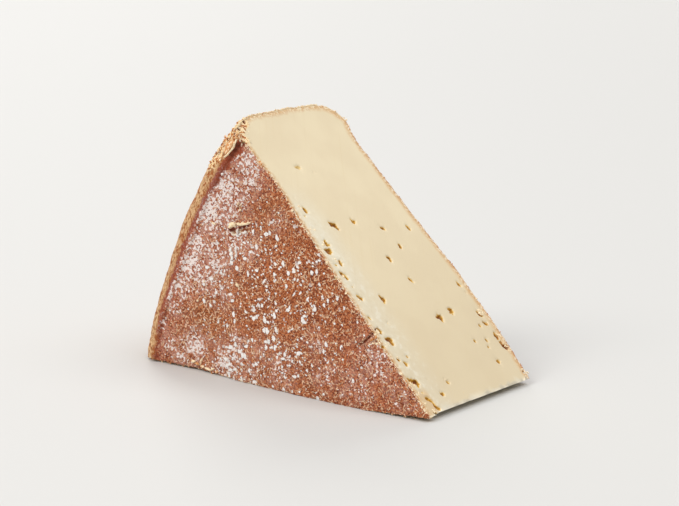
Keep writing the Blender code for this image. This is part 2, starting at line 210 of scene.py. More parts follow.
# Chips lifted off the broad face: back, up, length, height, thickness, rise towards the tip in degrees, and
# tone from 0 for dark brown over orange and cream to 1 for white
CHIPS = (
    (111.2, 68.5, 2.2, 2.2, 2.3, 20, 0.84), (112, 67.5, 1.4, 1.6, 1.6, 80, 0.66),
    (109.5, 69, 2.2, 1.4, 2.4, -24, 0.82), (109, 68.2, 1.2, 1.1, 1.7, 30, 0.7),
    (107.2, 69.1, 1.3, 1.2, 1.8, 30, 0.86), (106, 68.9, 2.1, 1.1, 2.2, -6, 0.8),
    (104.8, 69.3, 1.7, 1.5, 2, 34, 0.86), (103.3, 69.4, 2, 0.9, 1.9, 4, 0.8),
    (101.9, 69.8, 1.7, 1.3, 1.7, 30, 0.84), (100.9, 70, 1.3, 0.7, 1.2, 10, 0.74),
    (107.5, 65.6, 3, 1.1, 1.6, 86, 1), (103.8, 65.3, 2.4, 1.2, 0.8, 8, 0.94),
    (103, 65.9, 1.6, 0.8, 0.9, -20, 0.98), (106, 64.6, 1.5, 0.8, 0.9, 30, 0.98),
    (123.2, 69.4, 2.6, 0.9, 1.3, -24, 0.66), (124.4, 70, 1.2, 0.7, 1, -10, 0.45),
    (105.2, 41.4, 2.6, 0.9, 1.4, -44, 0.76), (129.2, 31.4, 1.2, 1, 1.2, 0, 0.66),
    (126.4, 41.1, 0.8, 0.7, 0.8, 0, 0.7), (107.4, 78.4, 1.4, 0.8, 1.2, 70, 0.66),
    (106, 75.4, 1.4, 0.8, 1.2, 60, 0.6), (111, 56.9, 2.4, 1.7, 1, 86, 1), (110.4, 55.1, 2.4, 1.8, 1, 76, 1),
    (109.8, 53.4, 2, 1.5, 1, 84, 1), (107.7, 58.2, 2, 1.2, 1, 88, 1), (107.6, 56.4, 2.2, 1.1, 1, 94, 1),
    (107.4, 54.7, 1.9, 1.2, 1, 80, 1), (30.8, 28.4, 2, 0.9, 0.7, 40, 0.3),
    (29.2, 29.4, 1.8, 1.1, 0.7, 50, 0.36), (29.4, 30.8, 1.4, 0.8, 0.8, 45, 0.66),
    (30, 26.9, 1.6, 0.7, 0.8, 10, 0.7), (31.6, 26.3, 1.3, 0.6, 0.7, -16, 0.6),
    (28.3, 27, 1.4, 0.8, 0.8, 20, 0.72), (127.4, 2.2, 2.4, 1.3, 1.6, 8, 0.6),
    (125.2, 1.4, 2.6, 1.2, 1.5, -6, 0.48), (123.2, 2.8, 3.2, 0.9, 1.3, 78, 0.66),
    (122, 0.6, 2.4, 1.2, 1.5, -14, 0.55), (118.4, 0.2, 3.4, 1.2, 1.4, -10, 0.66),
    (115.4, 0.8, 2.8, 0.9, 1.3, 24, 0.7), (113, 0, 1.8, 0.9, 1.4, 0, 0.45),
    (94.6, 96.6, 2.4, 1, 1.2, -40, 0.45), (116.3, 91.4, 1.7, 1.3, 1.2, 30, 0.97))
CHIP_UNEVENNESS = 0.8

# The flap peeled off the heel's edge: back, up, length, width, thickness and rise; and the path of its raised
# outer edge, with the step along it and each bit's overlap, height, thickness and way out
FLAP = (111.4, 102.6, 9.6, 4.1, 1.5, 42)
FLAP_EDGE = ((107, 105.4), (107.5, 104.2), (108.5, 102.6), (110.4, 100.9), (112.4, 99.4), (114.4, 98.5))
FLAP_EDGE_STEP = 0.0011
FLAP_EDGE_BIT = (2.2, 1, 0.8, 0.5)
FLAP_TONES = (0.46, 0.66)

# Crumbs: how many, the smallest and the largest, and their darkest and lightest tones; and how deep they sink
CORNER_CRUMBS = (190, 0.6, 2, 0.12, 0.78)
TOP_CRUMBS = (200, 0.4, 1.2, 0.6, 0.84)
FRONT_CRUMBS = (420, 0.4, 1.2, 0.3, 0.9)
FAR_CRUMBS = (60, 0.35, 0.75, 0.36, 0.8)
BASE_CRUMBS = (110, 0.35, 1, 0.2, 0.7)
TIP_CRUMBS = (18, 0.4, 1, 0.45, 0.8)
SINK = 0.15
RIM_SINK = 0.4

# How far they stray, as a share of their size, and how a flake is tipped, wide and thick
CRUMB_STRAY = 0.25
FLAKE_TIP = 0.6
FLAKE_WIDTH = (0.45, 0.9)
FLAKE_THICKNESS = (0.22, 0.5)

# Where they lie: from which radius, or up to which; how far below the upper cut, in radians; how far below
# the wheel's axis; and on the crumbly corner, how far below, how far across, and how many places a step
HEEL_FROM = 0.151
RIM_FROM = 0.004
BASE_FROM = 0.006
TIP_FROM = 0.0015
TIP_TO = 0.01
RIM_DROP = 0.0012
TIP_DROP = 0.06
BASE_DROP = 0.0009
CORNER_DROPS = (0.002, 0.16)
CORNER_ACROSS = (0.0275, 0.0425)
CORNER_TRIES = 12

# Rough places of the upper cut: along, across, spread, and how many crumbs; their sizes and tones; and the
# curled lip round a small hole: along, across, radius, and how many crumbs
ROUGH_PLACES = (
    (43, 48.6, 1.4, 8), (46.5, 49, 1.2, 5), (33, 44, 1, 3), (26, 46.6, 1.5, 9), (20, 46.4, 1.4, 9),
    (17.5, 46.4, 1, 4), (5, 46.4, 1.8, 12), (60, 49, 1.2, 4), (3, -38, 1.4, 4), (7, -40.2, 1, 4),
    (12, -39.6, 1, 3), (98, -36, 1.6, 5), (90, -35, 1.4, 6), (80, -35, 1.6, 6), (73, -37, 1.2, 4),
    (60, -37, 1.4, 6), (152.5, -37.5, 3.2, 26), (148.5, -40.5, 1.6, 10), (156, -34.5, 2.4, 14),
    (145, -41.5, 1.4, 6), (2.4, -37.5, 1, 3), (44, -39, 1.4, 7), (37, -38, 1.6, 7), (30, -38, 1.2, 4),
    (17, -40, 1.6, 7), (110, -35, 1.2, 3))
ROUGH_SIZES = (0.5, 1.5)
ROUGH_TONES = (0.62, 0.82)
CURL = (39.6, 44.7, 1.5, 11)
CURL_SIZES = (0.8, 1.4)
CURL_TONE = 0.72

# Soft-edged places on the broad face, as back, up, reach and strength: chalky bloom, painted shadow under the
# lifted chips, beside the flap and in the notch's crack, white flecks, and where the rind is more ochre or
# more pink
BLOOM = (
    (114, 85, 16, 0.85), (122, 72, 15, 1), (128, 56, 13, 0.8), (131, 46, 12, 0.88), (136, 36, 10, 0.76),
    (143, 33, 8, 0.8), (101, 96, 10, 0.8), (99, 88, 8, 0.8), (106, 80, 10, 0.75), (127, 9, 11, 0.88),
    (117, 50, 12, 0.75), (122, 41, 10, 0.75), (109, 4, 13, 0.76), (101, 11, 9, 0.7), (147, 18, 7, 0.6),
    (27, 20, 15, 0.56), (36, 8, 12, 0.5), (76, 8, 12, 0.55), (14, 6, 10, 0.4), (52, 10, 9, 0.5),
    (99, 57, 9, 0.6), (108, 62, 12, 0.6), (140, 8, 10, 0.6), (134, 4, 8, 0.75), (112, 68, 12, 0.55),
    (93, 4, 9, 0.5), (139, 50, 9, 0.8), (88, 13, 8, 0.45), (114, 36, 9, 0.6), (110, 72, 8, 0.75),
    (84, 72, 6, 0.55), (102, 16, 6, 0.65), (139, 25, 6, 0.7), (70, 11, 7, 0.35), (58, 22, 8, 0.45))
PAINTED_SHADOWS = (
    (109.6, 65.3, 1.6, 1), (108.2, 65.5, 1.3, 1), (105, 66.5, 1.2, 0.9), (103, 67.1, 1.3, 0.9),
    (101, 67.8, 1.2, 0.8), (103.5, 103.6, 1.5, 0.8), (106.4, 103.2, 2.4, 0.7), (107.8, 100.8, 2.4, 0.7),
    (109.4, 98.4, 2.2, 0.6), (110.6, 96.2, 2, 0.5), (32.8, 28.6, 0.9, 0.6), (34.8, 26.8, 0.9, 0.6),
    (36.9, 25.6, 0.9, 0.6))
FLECKS = (
    (100, 60, 16, 0.8), (88, 48, 24, 1), (72, 40, 22, 0.9), (90, 28, 24, 1), (70, 20, 26, 0.95),
    (96, 8, 22, 1), (55, 12, 18, 0.4), (60, 55, 16, 0.6), (112, 40, 14, 0.6), (38, 30, 16, 0.25),
    (112, 20, 12, 0.7), (111, 35, 14, 0.95))
OCHRE = ((122, 25, 13, 0.9), (134, 15, 8, 0.5), (88, 74, 12, 0.6), (112, 40, 10, 0.5), (95, 62, 10, 0.4))
PINK = ((122, 78, 32, 1), (134, 45, 22, 1), (98, 92, 18, 0.9), (30, 16, 18, 0.5), (140, 20, 14, 0.8))

# Materials: the turn that keeps the noise's squares off the flat cuts, the directions in degrees of the light
# dashes of the rind, and the height of the bump
NOISE_TILT = (0.7, 0.5, 0.3)
DASH_TURNS = (15, 60, 105, 150)
BUMP_HEIGHT = 0.0006

# Camera: its turn, rise and roll, its place from the wheel's axis in its own directions, and its lens
CAMERA_TURN = radians(33.66)
CAMERA_RISE = radians(9.27)
CAMERA_ROLL = radians(2.81)
CAMERA_OFFSET = Vector((-0.06205, 0.0637, 0.68208))
CAMERA_LENS = 83.28
SENSOR = 36

# Lights: where each shines from, how wide it looks in degrees, strength and colour
LIGHTS = {
    "key": ((-0.5, -1.2, 1.05), 34, 1.74, (1, 0.98, 0.95)),
    "top": ((0.38, 0.15, 0.95), 48, 1.34, (1, 0.985, 0.955)),
    "back": ((-1, 0.9, 0.85), 26, 0.8, (1, 0.98, 0.95)),
}
SKY = (0.9, 0.91, 0.93)
SKY_STRENGTH = 0.5
FLOOR_COLOUR = (0.62, 0.615, 0.6)
FLOOR_SIZE = 40
FLOOR_SQUARES = 40
FLOOR_FLAT = 6
FLOOR_RISE = 1


def metres(*lengths):
    """Lengths in millimetres as metres."""
    return [length * MM for length in lengths]


def smooth_through(points, step):
    """Points spaced by about the step along a smooth curve through the given points."""
    points = [Vector(point) for point in points]
    padded = [points[0], *points, points[-1]]
    path = []
    for before, start, end, after in zip(padded, padded[1:], padded[2:], padded[3:]):
        slope_in, slope_out = (end - before) / 2, (after - start) / 2
        count = max(1, round((end - start).length / step))
        for t in (index / count for index in range(count)):
            path.append(start * (1 + 2 * t) * (1 - t) ** 2 + end * t * t * (3 - 2 * t)
                        + slope_in * t * (1 - t) ** 2 - slope_out * t * t * (1 - t))
    return path + [points[-1]]


def ease(value, start, end):
    """Zero at the start, one at the end, and smooth between them, for a number or an array."""
    t = np.clip((value - start) / (end - start), 0, 1)
    return t * t * (3 - 2 * t)


def new_object(name, mesh):
    """A new object for the mesh, in the scene."""
    item = bpy.data.objects.new(name, mesh)
    bpy.context.scene.collection.objects.link(item)
    return item


def finished_mesh(form, name):
    """The form that was worked on, as a mesh."""
    mesh = bpy.data.meshes.new(name)
    form.to_mesh(mesh)
    form.free()
    return mesh


def evaluated_mesh(item):
    """The object's mesh with its modifiers worked in."""
    bpy.context.view_layer.update()
    return bpy.data.meshes.new_from_object(item.evaluated_get(bpy.context.evaluated_depsgraph_get()))


def coordinates(mesh):
    """The mesh's points and its normals, both as rows of an array."""
    values = np.empty((2, len(mesh.vertices) * 3), np.float32)
    mesh.vertices.foreach_get("co", values[0])
    mesh.vertex_normals.foreach_get("vector", values[1])
    return values.reshape(2, -1, 3).astype(float)


def move_points(mesh, points):
    """Moves the mesh's points to these places."""
    mesh.vertices.foreach_set("co", points.astype(np.float32).ravel())
    mesh.update()


def border_radius(turn):
    """Radius in millimetres at which the heel's strip begins, where the wheel is turned up this far."""
    return np.interp(degrees(SECTOR_ANGLE) - turn, *zip(*BORDER))


def rind_points(points, normals):
    """Where points of the true wheel lie once the rind is lumpy and the wedge has sagged."""
    moved = points.copy()
    for height, spacing in LUMPS:
        lumps = [noise.noise(Vector(point) / (spacing * MM) + Vector((SEED, 0, 0))) for point in points]
        moved += normals * (height * MM) * np.array(lumps)[:, None]
    radius = np.maximum(np.hypot(points[:, 0], points[:, 2]), MM)
    turn = np.clip(np.arctan2(points[:, 2], -points[:, 0]) / SECTOR_ANGLE, 0, 1)
    front = ease(-points[:, 1], 0, FRONT_EDGE)
    inward = HEEL_FLATTEN * ease(turn, 0, HEEL_FLATTEST) * ease(turn, HEEL_ROUND_AGAIN, HEEL_FLATTEST)
    inward *= ease(radius, HEEL_FLATTEN_FROM, CREASE_RADIUS)
    slide = RIDGE_RADIUS - border_radius(turn * degrees(SECTOR_ANGLE)) * MM
    inward += slide * front * ease(radius, *RIDGE_FROM) * ease(radius, *RIDGE_TO)
    moved[:, [0, 2]] -= points[:, [0, 2]] * (inward / radius)[:, None]
    belly = np.sin(pi * np.minimum(1, radius / CREASE_RADIUS))
    moved[:, 1] -= SAG * belly * (1 - turn) * front
    return moved


def rind_place(point, normal):
    """One point of the roughened rind."""
    return Vector(rind_points(np.array([point]), np.array([normal]))[0])


def on_front(back, up):
    """The point of the roughened broad face at these millimetres back from the tip line and up."""
    front = [point for point in WHEEL_PROFILE if point[1] > 0]
    level = np.interp(hypot(back, up), *zip(*front))
    return rind_place(Vector(metres(-back, -level, up)), -ACROSS)


def on_cut(distance, side):
    """The place on the upper cut at this distance along it and to the side, in their own unit."""
    return ALONG * distance + ACROSS * side


def heel_place(radius, below, side):
    """The point of the roughened rind at a radius and to the side, some degrees below the upper cut."""
    angle = SECTOR_ANGLE - radians(below)
    outward = Vector((-cos(angle), 0, sin(angle)))
    return rind_place(outward * radius + Vector((0, side, 0)), outward)


def wheel_outline():
    """Closely spaced points of the wheel's outline, with the outward direction at each."""
    profile = [metres(*point) for point in WHEEL_PROFILE]
    outline = np.array([point[:] for point in smooth_through(profile, PROFILE_STEP)])
    along = np.gradient(outline, axis=0)
    outward = np.stack([-along[:, 1], along[:, 0]], axis=1)
    return outline, outward / np.linalg.norm(outward, axis=1)[:, None]


def turned_up(outline, angles):
    """Points, or directions, of the wheel's outline turned up by these angles."""
    radius, height = outline.T
    return np.stack([-radius * np.cos(angles), -height + 0 * angles, radius * np.sin(angles)], axis=-1)


def whole_sector():
    """The wheel's sector before it is cut, a little wider than the wedge, with its rind lumpy."""
    outline, _ = wheel_outline()
    rows = round((SECTOR_ANGLE + 2 * TURN_MARGIN) / TURN_STEP) + 1
    columns = len(outline)
    points = turned_up(outline, np.linspace(-TURN_MARGIN, SECTOR_ANGLE + TURN_MARGIN, rows)[:, None])
    last_row = (rows - 1) * columns
    faces = [(place, place + 1, place + columns + 1, place + columns)
             for place in range(last_row) if (place + 1) % columns]
    faces += [tuple(range(columns - 1, -1, -1)), tuple(range(last_row, last_row + columns))]
    mesh = bpy.data.meshes.new("outline")
    mesh.from_pydata(points.reshape(-1, 3), [], faces)
    form = bmesh.new()
    form.from_mesh(mesh)
    bmesh.ops.remove_doubles(form, verts=form.verts, dist=MM / 100)
    bmesh.ops.recalc_face_normals(form, faces=form.faces)
    mesh = finished_mesh(form, "sector")
    move_points(mesh, rind_points(*coordinates(mesh)))
    return mesh


def base_height(x, y):
    """Height of the lower cut face: flat, but eased up at the tip and along part of the front edge."""
    corner = ease(-y, FRONT_EDGE - FRONT_EASE, FRONT_EDGE)
    tip = (TIP_LIFT + (TIP_CORNER_LIFT - TIP_LIFT) * corner) * ease(x, -TIP_EASE, 0)
    front = FRONT_LIFT * corner * ease(-x, FRONT_LIFT_START, FRONT_LIFT_START + TIP_EASE)
    return np.maximum(tip, front) - CUT_BELOW_AXIS


def base_cutter():
    """A thick slab whose top is the lower cut face."""
    form = bmesh.new()
    grid = bmesh.ops.create_grid(form, x_segments=round(SLAB_LENGTH / BASE_GRID),
                                 y_segments=round(SLAB_WIDTH / BASE_GRID), size=0.5)
    for vertex in grid["verts"]:
        x = vertex.co.x * SLAB_LENGTH
        y = vertex.co.y * SLAB_WIDTH
        vertex.co = (x, y, base_height(x, y))
    cutter = new_object("lower_cut", finished_mesh(form, "lower_cut"))
    solidify = cutter.modifiers.new("thickness", "SOLIDIFY")
    solidify.thickness = SLAB_DEPTH
    solidify.offset = -1
    return cutter


def top_cutter():
    """A box whose lower side is the upper cut."""
    form = bmesh.new()
    bmesh.ops.create_cube(form, size=WORK_SIZE)
    cutter = new_object("upper_cut", finished_mesh(form, "upper_cut"))
    cutter.location = OUT * WORK_SIZE / 2
    cutter.rotation_euler = (0, SECTOR_ANGLE, 0)
    return cutter


def uneven_ball(axes, draw, unevenness):
    """A squashed ball whose surface is lumpy, as a mesh."""
    form = bmesh.new()
    ball = bmesh.ops.create_icosphere(form, subdivisions=LUMP_FINENESS, radius=0.5)
    shift = Vector([draw.uniform(0, 99) for _ in range(3)])
    for vertex in ball["verts"]:
        swell = 1 + unevenness * noise.noise(vertex.co * LUMP_WAVES + shift)
        vertex.co = Vector([part * size * swell for part, size in zip(vertex.co, axes)])
    return finished_mesh(form, "lump")


def lump(axes, place, turning, collection, draw, unevenness=0.3):
    """A cutter for an eye, a crack or a pit."""
    item = bpy.data.objects.new("lump", uneven_ball(axes, draw, unevenness))
    collection.objects.link(item)
    item.matrix_world = Matrix.Translation(place) @ turning.to_4x4()


def add_upper_eyes(hollows, draw):
    """The eyes of the upper cut, and the crack near its tip."""
    plane = Matrix((ALONG, -ACROSS, OUT)).transposed()
    count, reach, nook = EYE_NOOKS
    for *lengths, turn in EYES:
        distance, side, length, width = metres(*lengths)
        depth = max(EYE_DEPTH * (length + width), LEAST_EYE_DEPTH)
        turning = plane @ Matrix.Rotation(radians(turn), 3, "Z")
        middle = on_cut(distance, side)
        for shift, share in EYE_PARTS:
            size = Vector((length, width, depth)) * share
            size.y = min(size.y * EYE_PART_WIDENING, width)
            slip = Vector((shift * length, draw.uniform(-EYE_SLIP, EYE_SLIP) * width, -size.z * EYE_SINK))
            lump(size, middle + turning @ slip, turning, hollows, draw, EYE_UNEVENNESS)
        for _ in range(count):
            angle = draw.uniform(0, 2 * pi)
            slip = Vector((reach * length * cos(angle), reach * width * sin(angle), 0))
            lump([(length + width) * nook * part for part in NOOK_SHAPE], middle + turning @ slip,
                 turning @ Matrix.Rotation(angle, 3, "Z"), hollows, draw, EYE_UNEVENNESS)
    add_crack(TIP_CRACK, lambda distance, side: on_cut(distance, side) * MM, OUT, hollows, draw)


def add_crack(places, locate, out, hollows, draw):
    """A crack through places that end in its width there, on a surface that looks out this way."""
    path = [locate(*place) for *place, _ in places]
    for start, end, (_, _, width) in zip(path, path[1:], places):
        way = end - start
        aside = out.cross(way).normalized()
        turning = Matrix((way.normalized(), aside, way.cross(aside).normalized())).transposed()
        size = Vector((way.length + width * MM, width * MM, CRACK_DEPTH * MM))
        lump(size, (start + end) / 2, turning, hollows, draw)


def add_base_eyes(hollows, draw):
    """A few eyes in the lower cut face."""
    near, far, side = BASE_EYE_ROOM
    for index in range(BASE_EYES):
        x = -near - (far - near) * (index + draw.random()) / BASE_EYES
        y = draw.choice((-side, side)) * draw.uniform(0.55, 1)
        length = draw.uniform(*BASE_EYE_LENGTH)
        width = length * draw.uniform(*BASE_EYE_WIDTH)
        turning = Matrix.Rotation(draw.uniform(0, pi), 3, "Z")
        lump((length, width, width), Vector((x, y, float(base_height(x, y)))), turning, hollows, draw)


def front_turning(rise):
    """Turns a lump's length along the broad face and its depth into it."""
    return Matrix.Rotation(radians(-rise), 3, "Y") @ Matrix.Rotation(radians(90), 3, "X")


def add_rind_marks(hollows, draw):
    """Cracks of the broad face and pits of the crumbly corner."""
    for back, up, length, width, depth, rise in FRONT_CRACKS:
        lump(metres(length, width, depth), on_front(back, up), front_turning(rise), hollows, draw)
    for places in NOTCH_CRACKS:
        add_crack(places, on_front, -ACROSS, hollows, draw)
    for radius, below, side, size in CORNER_PITS:
        turning = Matrix.Rotation(draw.uniform(0, pi), 3, "Y")
        shape = [size * MM * squash for squash in PIT_SQUASH]
        lump(shape, heel_place(radius * MM, below, side * MM), turning, hollows, draw)


def cut_away(item, cutters):
    """A Boolean step that takes one object, or a collection of them, out of the item."""
    step = item.modifiers.new("cut", "BOOLEAN")
    step.operation = "DIFFERENCE"
    step.solver = "MANIFOLD"
    if isinstance(cutters, bpy.types.Collection):
        step.operand_type = "COLLECTION"
        step.collection = cutters
    else:
        step.object = cutters


def cut_wedge(sector):
    """The wedge as an even mesh: cut from the sector, with its eyes, cracks and pits opened."""
    draw = random.Random(SEED)
    hollows = bpy.data.collections.new("hollows")
    bpy.context.scene.collection.children.link(hollows)
    add_upper_eyes(hollows, draw)
    add_base_eyes(hollows, draw)
    add_rind_marks(hollows, draw)
    cutters = [base_cutter(), top_cutter()]
    item = new_object("cut_wedge", sector)
    for cutter in [*cutters, hollows]:
        cut_away(item, cutter)
    remesh = item.modifiers.new("even_faces", "REMESH")
    remesh.mode = "VOXEL"
    remesh.voxel_size = VOXEL
    mesh = evaluated_mesh(item)
    for tool in [item, *cutters, *hollows.objects]:
        bpy.data.objects.remove(tool)
    bpy.data.collections.remove(hollows)
    return mesh


def noise_of(points, spacing, shift):
    """Smooth noise from about -1 to 1 at each point, with lumps about the spacing apart."""
    offset = Vector((shift, shift * 1.7, -shift))
    return np.array([noise.noise(Vector(point) / spacing + offset) for point in points])


def depth_under_rind(points, sector):
    """How far each point is inside the wheel's own surface, in millimetres, and less than 0 outside it."""
    faces = [polygon.vertices for polygon in sector.polygons if len(polygon.vertices) < 5]
    tree = BVHTree.FromPolygons([vertex.co for vertex in sector.vertices], faces)
    depths = []
    for point in points:
        place, outward, _, distance = tree.find_nearest(Vector(point))
        outside = distance < MOST_OUTSIDE and (Vector(point) - place).dot(outward) > 0
        depths.append(-distance if outside else distance)
    return np.array(depths) / MM


def spots(back, up, places):
    """The strongest of several soft-edged round places, at each point of the broad face."""
    found = np.zeros(len(back))
    for centre, height, reach, strength in places:
        away = np.hypot(back - centre, up - height) / reach
        found = np.maximum(found, strength * np.exp(-(away ** 2) * 1.4))
    return found


def surface_fields(points, sector):
    """What the relief and the materials need to know of each point; lengths are millimetres.

    The corner is the torn one at the heel; crumbly is its edge on the upper cut, and a little of the tip's; a
    painted highlight goes along the upper cut's lowest edge, and the brim is the heel's edge along that cut.
    """
    at = SimpleNamespace(back=-points[:, 0] / MM, side=points[:, 1] / MM, front=-points[:, 1] / MM,
                         up=points[:, 2] / MM)
    at.radius = np.hypot(at.back, at.up)
    at.turn = np.degrees(np.arctan2(at.up, at.back))
    at.depth = depth_under_rind(points, sector)
    at.under_top = -(points @ np.array(OUT)) / MM
    over_base = (points[:, 2] - base_height(points[:, 0], points[:, 1])) / MM
    at.near_cut = np.minimum(at.under_top, over_base)
    below = degrees(SECTOR_ANGLE) - at.turn
    off_corner = np.hypot(below / CORNER_REACH[0], (at.side + CORNER_SIDE) / CORNER_REACH[1])
    at.corner = ease(at.radius, 148, 154) * ease(off_corner, 1.15, 0.55)
    torn = ease(at.radius, 143, 149) * ease(at.depth, 5.5, 3) * ease(at.front, 27, 33) * ease(below, 3, 1)
    tip_corner = ease(at.radius, 15, 10) * ease(at.front, 33, 36) * ease(at.under_top, 2, 1)
    at.crumbly = np.maximum(torn, 0.16 * tip_corner)
    # Painted highlight: a pale line along the upper cut's lowest edge
    at.foot = ease(over_base, 1.3, 0.3) * ease(at.under_top, 0.9, 0.3)
    at.brim = ease(at.radius, 152, 158) * ease(at.under_top, 1.8, 0.6) * ease(at.depth, 1.6, 0.7)
    return at


def roughen(points, normals, at):
    """The points with the fine relief of the rind, its rim and the cut faces; heights in millimetres."""
    coarse, middle, fine = (noise_of(points, spacing * MM, shift) for spacing, shift in RELIEF_NOISE)
    rind = 0.1 * coarse + 0.09 * middle + 0.08 * fine
    rind += ease(at.radius, 149, 154) * (0.16 * middle + 0.08 * fine)
    rind += at.corner * (0.6 * middle + 0.4 * fine)
    rim = ease(at.depth, 2.2, 0.4) * ease(at.near_cut, 2, 0.3)
    ragged = 0.12 * fine + 0.14 * middle - 0.05
    on_top = ease(at.under_top, 1, 0.2)
    torn = ease(at.depth, 4, 1.5) * on_top * ease(at.front, 20, 30)
    torn = torn * (0.1 * middle + 0.09 * fine) + at.crumbly * (0.45 * middle + 0.35 * fine)
    dents = ease(at.depth, 16, 5) * on_top * ease(at.front, 12, 24)
    height = ease(at.depth, 0.9, 0.2) * rind + rim * ragged + torn + (0.035 + 0.1 * dents) * coarse
    return points + normals * (height * MM)[:, None]


def lighter_mesh(mesh):
    """The mesh with its flatter places simplified, down to at most a set number of triangles."""
    item = new_object("lighter", mesh)
    item.modifiers.new("triangles", "TRIANGULATE")
    triangles = sum(len(polygon.vertices) - 2 for polygon in mesh.polygons)
    if triangles > MOST_TRIANGLES:
        decimate = item.modifiers.new("simplify", "DECIMATE")
        decimate.ratio = MOST_TRIANGLES / triangles
    lighter = evaluated_mesh(item)
    bpy.data.objects.remove(item)
    return lighter


def add_attribute(mesh, name, values):
    """A number or a place for each point, for the materials to read."""
    kind, part = ("FLOAT", "value") if values.ndim == 1 else ("FLOAT_VECTOR", "vector")
    mesh.attributes.new(name, kind, "POINT").data.foreach_set(part, values.astype(np.float32).ravel())


def streak_places(at):
    """Places for the paste's streaks, in metres, which are long along the knife's way."""
    along_knife = at.radius * cos(KNIFE_TURN) + at.side * sin(KNIFE_TURN)
    across_knife = at.side * cos(KNIFE_TURN) - at.radius * sin(KNIFE_TURN)
    return np.stack([across_knife, along_knife * KNIFE_DRAWING, 0 * along_knife], axis=1) * MM


def rind_spots(at, places):
    """The spots of the broad face, and the same ones mirrored on the far face."""
    mirrored = SECTOR_ANGLE - np.radians(at.turn)
    far = spots(at.radius * np.cos(mirrored), at.radius * np.sin(mirrored), places)
    return np.where(at.side < 0, spots(at.back, at.up, places), far)


def add_material_fields(mesh, at):
    """Writes the fields that the materials read: smooth shares, millimetres, and the streaks' places."""
    deep = ease(at.near_cut / np.minimum(1, 0.3 + 0.12 * at.radius), 0.15, 0.8)
    notch = ease(spots(at.back, at.up, NOTCH), 0.2, 0.4) * ease(at.front, 36, 39)
    opened = np.maximum(at.corner, notch) * ease(at.near_cut, 0.1, 0.45)
    border = at.radius - border_radius(at.turn)
    rim = ease(border, -8, -3) * ease(at.turn, 6, 15) * ease(at.turn, 43, 33)
    narrowed = border / np.where(border < 0, 1 + 0.7 * ease(at.turn, 33, 39), 1)
    tip_lump = ease(at.radius, 15, 11) * ease(at.front, 33, 35.5)
    fields = {
        "depth": np.minimum(at.depth, 12),
        # How deep a point lies in an eye, which also sets the eyes' painted shade
        "eye": deep * ease(at.depth, 0.7, 1.6) * (1 - 0.45 * ease(at.radius, 110, 120)),
        # Painted shade: how far a point lies down in a crack, pit or other hollow of the rind, to be painted
        # dark brown
        "crack": ease(at.depth + 0.3 * notch, 0.35, 0.95) * np.maximum(ease(at.near_cut, 0.8, 2), opened),
        # Painted shadow under the lifted chips, beside the flap and in the notch's crack
        "painted_shadow": spots(at.back, at.up, PAINTED_SHADOWS) * ease(at.front, 30, 36),
        "bloom": np.maximum(rind_spots(at, BLOOM), 0.66 * rim),
        "fleck": rind_spots(at, FLECKS),
        "ochre": rind_spots(at, OCHRE),
        "pink": np.maximum(rind_spots(at, PINK), ease(border, -9, -4)),
        "border": np.clip(narrowed, -4, 14),
        # How strong the painted shade along the crease is, weaker towards the lower cut
        "crease_shade": ease(at.turn, 2, 14) * 0.48 + 0.46,
        "far": ease(at.side, 20, 34),
        "pale": ease(at.front, 16, 34) * ease(at.radius, 130, 95) * (1 - tip_lump),
        "lump": tip_lump,
        # Painted shade: the paste is darkened towards the tip
        "tip": ease(at.radius, 120, 10),
        "foot": at.foot,
        "brim": at.brim,
        "corner": at.corner,
        "crumbly": at.crumbly,
        "grain": streak_places(at),
    }
    for name, values in fields.items():
        add_attribute(mesh, name, values)


def linear(red, green, blue):
    """A colour given as it looks on a screen, from 0 to 255, as the shader wants it."""
    def part(value):
        value /= 255
        return value / 12.92 if value < 0.04045 else ((value + 0.055) / 1.055) ** 2.4
    return part(red), part(green), part(blue), 1


class Result:
    """What a material works out at each point; numbers can be added, taken away, multiplied and stepped."""

    def __init__(self, paint, socket):
        self.paint = paint
        self.socket = socket

    def __add__(self, other):
        return self.paint.maths("ADD", self, other)

    def __sub__(self, other):
        return self.paint.maths("SUBTRACT", self, other)

    def __mul__(self, other):
        return self.paint.maths("MULTIPLY", self, other)

    def step(self, start, end, low=0, high=1):
        """Low below the start and high above the end, smooth between them."""
        inputs = {"Value": self, "From Min": start, "From Max": end, "To Min": low, "To Max": high}
        return self.paint.add("ShaderNodeMapRange", "Result", inputs, interpolation_type="SMOOTHSTEP")


